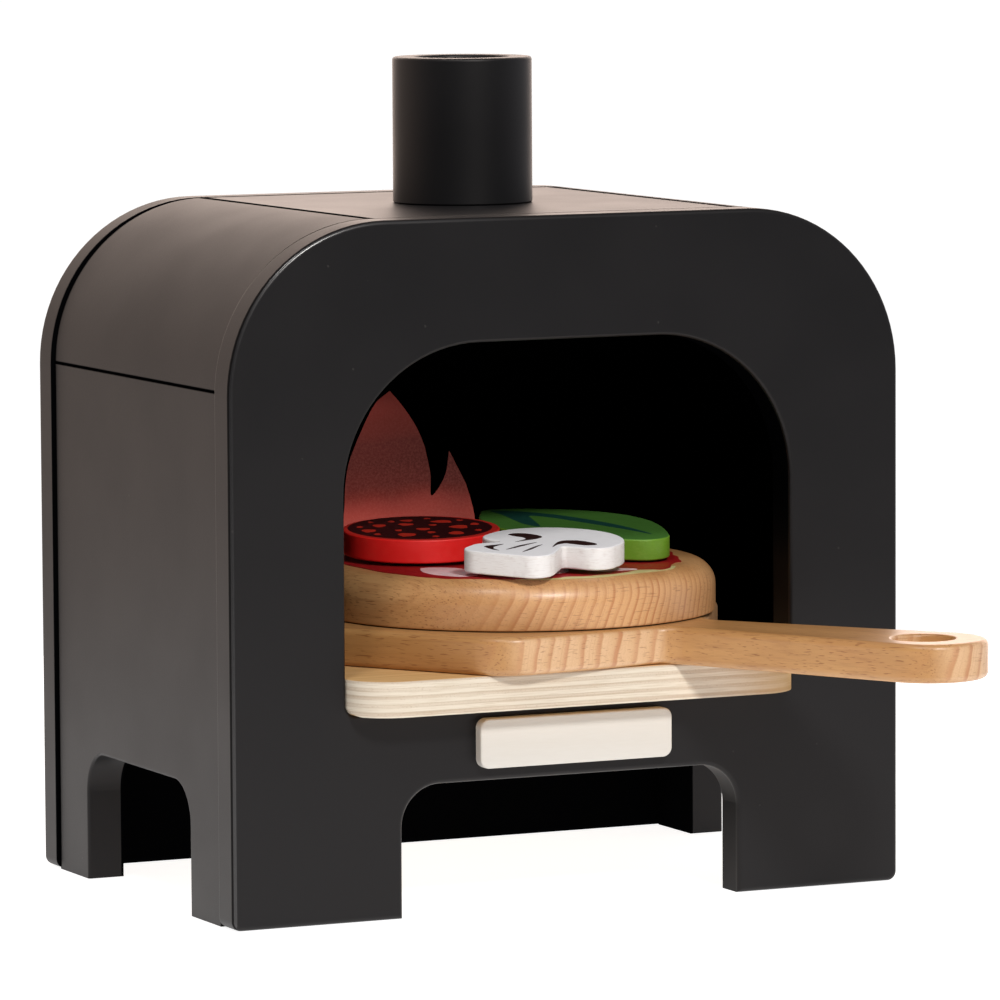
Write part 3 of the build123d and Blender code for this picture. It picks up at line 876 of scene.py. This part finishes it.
def draped(name, outlines, material, lift, rings=24):
    """Films that follow the pizza's rounded rim; each outline is seen from its middle.

    The rings are closest near the border, where the surface may curve.
    """
    vertices, faces = [], []
    for outline in outlines:
        curve = smooth(outline, 5)
        middle = np.mean(curve, axis=0)
        count, first = len(curve), len(vertices)
        vertices.append(on_pizza(*middle, lift))
        for ring in range(1, rings + 1):
            share = 1 - (1 - ring / rings) ** 1.8
            vertices += [on_pizza(*(middle + share * (point - middle)), lift) for point in curve]
        vertices += [on_pizza(*point, 0.0) for point in curve]
        faces += [(first, first + 1 + i, first + 1 + (i + 1) % count) for i in range(count)]
        for ring in range(rings):
            inner, outer = first + 1 + ring * count, first + 1 + (ring + 1) * count
            faces += [
                (inner + i, outer + i, outer + (i + 1) % count, inner + (i + 1) % count)
                for i in range(count)
            ]
    return make_piece(name, vertices, faces, material, "pizza")


# %% [markdown]
# The sauce's wavy border is given by how far it reaches in each direction, in degrees
# on the serving axes and millimetres from the pizza's middle. A pale strip of cheese
# shows beyond it at the front right, and a few melted patches lie on it.

# %% Sauce and cheese
sauce_reach = [
    (-180, 54.5), (-165, 56.0), (-150, 55.2), (-138, 56.6), (-129, 57.0), (-122, 57.7),
    (-116, 57.9), (-109, 58.0), (-92, 57.8), (-78.5, 57.5), (-73.8, 56.4), (-68.4, 56.8),
    (-62.4, 56.3), (-53.7, 55.7), (-44, 52.7), (-40.5, 55.3), (-37.5, 57.2), (-31.4, 56.6),
    (-24, 53.6), (-17, 52.8), (-14, 53.9), (-6, 52.0), (2, 51.7), (8, 50.7), (18, 52.5),
    (27, 50.8), (38, 53.0), (50, 51.0), (62, 53.4), (75, 51.2), (88, 53.2), (100, 51.6),
    (113, 54.2), (126, 52.4), (140, 54.6), (153, 53.4), (167, 55.4),
]


def polar(reach):
    return [
        (radius * math.cos(math.radians(angle)), radius * math.sin(math.radians(angle)))
        for angle, radius in reach
    ]


cheese_patches = [
    [(-30.0, -33.0), (-29.2, -28.2), (-23.2, -27.1), (-17.0, -31.0), (-14.0, -40.0),
     (-12.0, -50.0), (-17.4, -53.5), (-25.0, -48.5), (-28.8, -41.0)],
    [(22.0, -38.0), (26.0, -34.5), (31.0, -32.0), (36.8, -33.4), (37.4, -36.4), (31.0, -39.6),
     (26.0, -41.0)],
    blob(10.0, 40.0, 9.0, 6.0, 0.16, 0.4),
    blob(-34.0, 30.0, 7.0, 8.0, 0.16, 2.1),
    blob(-3.0, -6.0, 8.0, 6.5, 0.14, 4.0),
    blob(40.0, 14.0, 6.0, 8.0, 0.15, 5.2),
]
edge_cheese = [
    (-92, 57.0), (-85, 58.2), (-78.7, 58.5), (-71.8, 58.3), (-64.7, 58.4), (-57.3, 58.0),
    (-47.1, 57.6), (-41, 57.8), (-35.4, 57.9), (-31.1, 57.7), (-27, 55.5), (-36, 51.0),
    (-60, 50.0), (-85, 51.0),
]
sauce_ink = finish("sauce_ink", ink_recipe("8e0c18", "991a14", (0.3, 0.3, 0.3)), **MATT)
cheese_ink = finish("cheese_ink", ink_recipe("ecd0d2", "e2bfc2"))
edge_ink = finish("cheese_edge_ink", ink_recipe("b9ad74", "c4b782"))
draped("pizza_cheese_edge", [polar(edge_cheese)], edge_ink, 2 * FILM)
draped("pizza_sauce", [polar(sauce_reach)], sauce_ink, 3 * FILM)
draped("pizza_cheese", cheese_patches, cheese_ink, 4 * FILM)

# %% [markdown]
# ## The flame
# A flame is printed on the inside of the back panel, behind the pizza. It is drawn
# upright in millimetres: across from the oven's middle, and up from the table. A colour
# ramp over the height makes it a warm pink at its foot and at its tip and a deep red
# half-way up, partly the print's colours and partly painted light. Each stop is a share
# of the height and a colour. A mask across it darkens the right side with painted shade.

# %% Flame print
flame_outline = [
    (35.0, 98.0), (34.6, 106.0), (33.5, 111.6), (31.6, 117.7), (29.6, 121.8), (27.4, 125.9),
    (25.7, 129.0), (25.3, 129.6), (25.1, 129.0), (24.7, 126.0), (23.8, 122.0), (21.6, 118.0),
    (18.6, 115.3), (18.4, 122.3), (16.7, 130.3), (15.3, 134.3), (13.3, 138.4), (10.6, 142.5),
    (7.4, 146.6), (4.6, 149.7), (4.0, 150.4), (3.2, 150.0), (-0.8, 147.1), (-3.6, 143.1),
    (-7.6, 135.3), (-10.9, 127.6), (-12.4, 119.7), (-12.8, 111.8), (-14.2, 106.0),
    (-17.5, 103.8), (-21.0, 107.0), (-25.0, 114.0), (-30.0, 121.5), (-35.0, 126.0),
    (-35.6, 117.0), (-38.5, 108.5), (-41.5, 99.0), (-41.0, 89.0), (-34.0, 80.5),
    (-20.0, 77.2), (0.0, 76.6), (18.0, 77.5), (29.0, 84.0),
]
FLAME_FOOT, FLAME_TOP = 84.0, 156.0  # heights of the ramp's two ends
# The stops are partly the print's colours and partly painted light.
FLAME_STOPS = [
    (0.0, "ea7466"), (0.29, "c94f44"), (0.364, "ae4037"), (0.434, "86291f"), (0.504, "6f211a"),
    (0.642, "68221b"), (0.77, "7b302a"), (0.88, "ac473d"), (0.96, "db5e54"),
]
FLAME_SHADE_SPAN = (-8.0, 32.0)  # across, where the painted shade on the right side comes in


def flame_recipe(root):
    place = place_in_mm(root)
    grit = noise(place, 1.3, 3.0, 0.8)
    slow = noise(place, 0.04, 1.0)
    height = step(axis(place, "Z") + (slow - 0.5) * 10.0, FLAME_FOOT, FLAME_TOP)
    stops = [(share, shade(hexcode)) for share, hexcode in FLAME_STOPS]
    glow = root.node("ShaderNodeValToRGB", {"stops": stops}, {"Fac": height})
    # painted shade: the right side darkened towards a deep brown
    glow = mix(step(axis(place, "X"), *FLAME_SHADE_SPAN, 0.0, 0.35), glow, shade("2a100e"))
    return {
        "Base Color": mix(step(grit, 0.35, 0.7, 0.0, 0.12), glow, shade("ee9484")),
        "Roughness": step(grit, 0.3, 0.7, 0.55, 0.68),
        "height": grit * 0.02,
    }


back_wall_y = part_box("left_corner")[1].y * 1000.0
flame_place = (
    mathutils.Matrix.Translation((0.0, back_wall_y, 0.0))
    @ mathutils.Matrix.Rotation(math.radians(90.0), 4, "X")
)
flame_ink = finish("flame_ink", flame_recipe, **MATT)
flame_print = film("flame_print", [flame_outline], flame_place, flame_ink, "oven")

# %% [markdown]
# ## Stage, light and camera
# The toy stands on a plain white floor under soft light. A white floor turns grey
# wherever the light is weak, and stronger lamps would burn out the toy. So the floor
# gives off some light of its own: it stays white in the frame and still takes the soft
# shadows close to the feet.

# %% Floor
FLOOR_RADIUS = 0.62
FLOOR_PLACE = (0.0, -0.08, -0.0002)  # a hair below the feet, so no two faces coincide
FLOOR_GREY = (0.55, 0.55, 0.55, 1.0)
FLOOR_GLOW = 0.92
WHITE = (1.0, 1.0, 1.0, 1.0)


def floor_material():
    material = bpy.data.materials.new("studio_floor")
    material.use_nodes = True
    tree = material.node_tree
    tree.nodes.clear()
    root = Wire(tree)
    diffuse = root.node("ShaderNodeBsdfDiffuse", inputs={"Color": FLOOR_GREY})
    glow = root.node("ShaderNodeEmission", inputs={"Color": WHITE, "Strength": FLOOR_GLOW})
    both = root.node("ShaderNodeAddShader", inputs={0: diffuse, 1: glow})
    output = tree.nodes.new("ShaderNodeOutputMaterial")
    tree.links.new(both.socket, output.inputs["Surface"])
    return material


bpy.ops.mesh.primitive_circle_add(
    vertices=128, radius=FLOOR_RADIUS, fill_type="NGON", location=FLOOR_PLACE,
)
floor = bpy.context.object
floor.name = "studio_floor"
floor.data.materials.append(floor_material())
print("floor:", FLOOR_RADIUS, "m round the toy")

# %% [markdown]
# Black paint shows what it reflects, so the sky matters as much as the lamps. It is
# bright behind the toy and dim in front of it, as in a studio with a white backdrop,
# and that draws the bright edges on the paint. Three weaker glows are added: the
# backdrop itself, one on the right and one overhead. What the lens sees past the toy
# is plain white instead, so the picture's background stays clean.


# %% Sky
COOL, WARM = (0.96, 0.95, 1.0, 1.0), (1.0, 0.81, 0.71, 1.0)
BACKDROP = (0.42, 0.89, 0.18)  # the direction of its middle


def set_sky():
    world = bpy.data.worlds.new("studio")
    bpy.context.scene.world = world
    world.use_nodes = True
    tree = world.node_tree
    tree.nodes.clear()
    root = Wire(tree)
    direction = root.node("ShaderNodeTexCoord", output="Generated")
    behind = axis(direction, "Y") * 0.97 - axis(direction, "X") * 0.25
    glow = step(behind, -0.2, 0.85, 0.10, 0.80)
    settings = {"operation": "DOT_PRODUCT"}
    backdrop = root.node("ShaderNodeVectorMath", settings, {0: direction, 1: BACKDROP}, "Value")
    glow = glow + step(backdrop, 0.76, 0.985, 0.0, 2.6)
    glow = glow + step(axis(direction, "X"), 0.5, 0.98, 0.0, 0.45)
    glow = glow + step(axis(direction, "Z"), 0.4, 0.9, 0.0, 0.20)
    tint = mix(step(behind, -0.2, 0.6), COOL, WARM)
    lit = root.node("ShaderNodeBackground", inputs={"Color": tint, "Strength": glow})
    plain = root.node("ShaderNodeBackground", inputs={"Color": WHITE, "Strength": 1.05})
    seen = root.node("ShaderNodeLightPath", output="Is Camera Ray")
    sky = root.node("ShaderNodeMixShader", inputs={0: seen, 1: lit, 2: plain})
    output = tree.nodes.new("ShaderNodeOutputWorld")
    tree.links.new(sky.socket, output.inputs["Surface"])
    print("sky:", len(tree.nodes), "nodes")


set_sky()

# %% [markdown]
# The main lamp stands in front, well above the mouth, and is small enough to give the
# toppings crisp shadows. A weaker one stands high on the left. The back of the oven
# is too deep for both, so a third lamp, low in front, brings out the flame. Light
# linking lets it reach the print and nothing else, so the oven stays dark round it.


# %% Lamps
AIM = (0.0, -0.12, 0.10)  # the middle of the mouth


def lamp(name, bearing, height, distance, size, power, colour):
    """A round lamp aimed at the mouth: degrees left of the front, and degrees up."""
    light = bpy.data.lights.new(name, "AREA")
    light.shape = "DISK"
    light.size = size
    light.energy = power
    light.color = colour
    holder = bpy.data.objects.new(name, light)
    bpy.context.scene.collection.objects.link(holder)
    left, up = math.radians(bearing), math.radians(height)
    away = mathutils.Vector(
        (-math.sin(left) * math.cos(up), -math.cos(left) * math.cos(up), math.sin(up))
    )
    holder.location = mathutils.Vector(AIM) + distance * away
    holder.rotation_euler = (-away).to_track_quat("-Z", "Y").to_euler()
    print(name, power, "W at", [round(value, 2) for value in holder.location])
    return holder


lamp("key_lamp", bearing=1.0, height=37.5, distance=2.3, size=0.35, power=32.5,
     colour=(1.0, 0.98, 0.95))
lamp("high_lamp", bearing=45.0, height=58.0, distance=2.3, size=0.4, power=11.0,
     colour=(1.0, 0.98, 0.96))
flame_lamp = lamp("flame_lamp", bearing=4.0, height=17.0, distance=2.6, size=0.6, power=34.0,
                  colour=(1.0, 0.96, 0.94))
lit_by_flame_lamp = bpy.data.collections.new("lit_by_flame_lamp")
lit_by_flame_lamp.objects.link(flame_print)
flame_lamp.light_linking.receiver_collection = lit_by_flame_lamp

# %% [markdown]
# The camera stands low and to the left of the front, with a long lens from more than
# two metres away, so that upright edges stay nearly parallel. It is turned by a hair
# about its own view, as a hand-set camera is. A camera looks along its own -Z with +Y
# up, so its matrix is built from those directions.

# %% Camera
LENS = 254.36  # millimetres, on a sensor 36 millimetres wide
CAMERA_PLACE = (-0.94709, -2.11737, 0.34409)
CAMERA_ANGLES = (25.14, 5.67, 0.322)  # bearing, dip and roll, in degrees

camera_data = bpy.data.cameras.new("camera")
camera_data.sensor_width = 36.0
camera_data.lens = LENS
camera_data.clip_end = 20.0
camera = bpy.data.objects.new("camera", camera_data)
bpy.context.scene.collection.objects.link(camera)
bearing, dip, roll = (math.radians(angle) for angle in CAMERA_ANGLES)
forward = mathutils.Vector(
    (math.sin(bearing) * math.cos(dip), math.cos(bearing) * math.cos(dip), -math.sin(dip))
)
level_right = mathutils.Vector((math.cos(bearing), -math.sin(bearing), 0.0))
level_down = forward.cross(level_right)
right = math.cos(roll) * level_right + math.sin(roll) * level_down
down = math.cos(roll) * level_down - math.sin(roll) * level_right
turned = mathutils.Matrix((right, -down, -forward)).transposed().to_4x4()
camera.matrix_world = mathutils.Matrix.Translation(CAMERA_PLACE) @ turned
bpy.context.scene.camera = camera
bpy.context.scene.view_settings.view_transform = "Standard"
print("camera looks along", [round(value, 3) for value in forward])
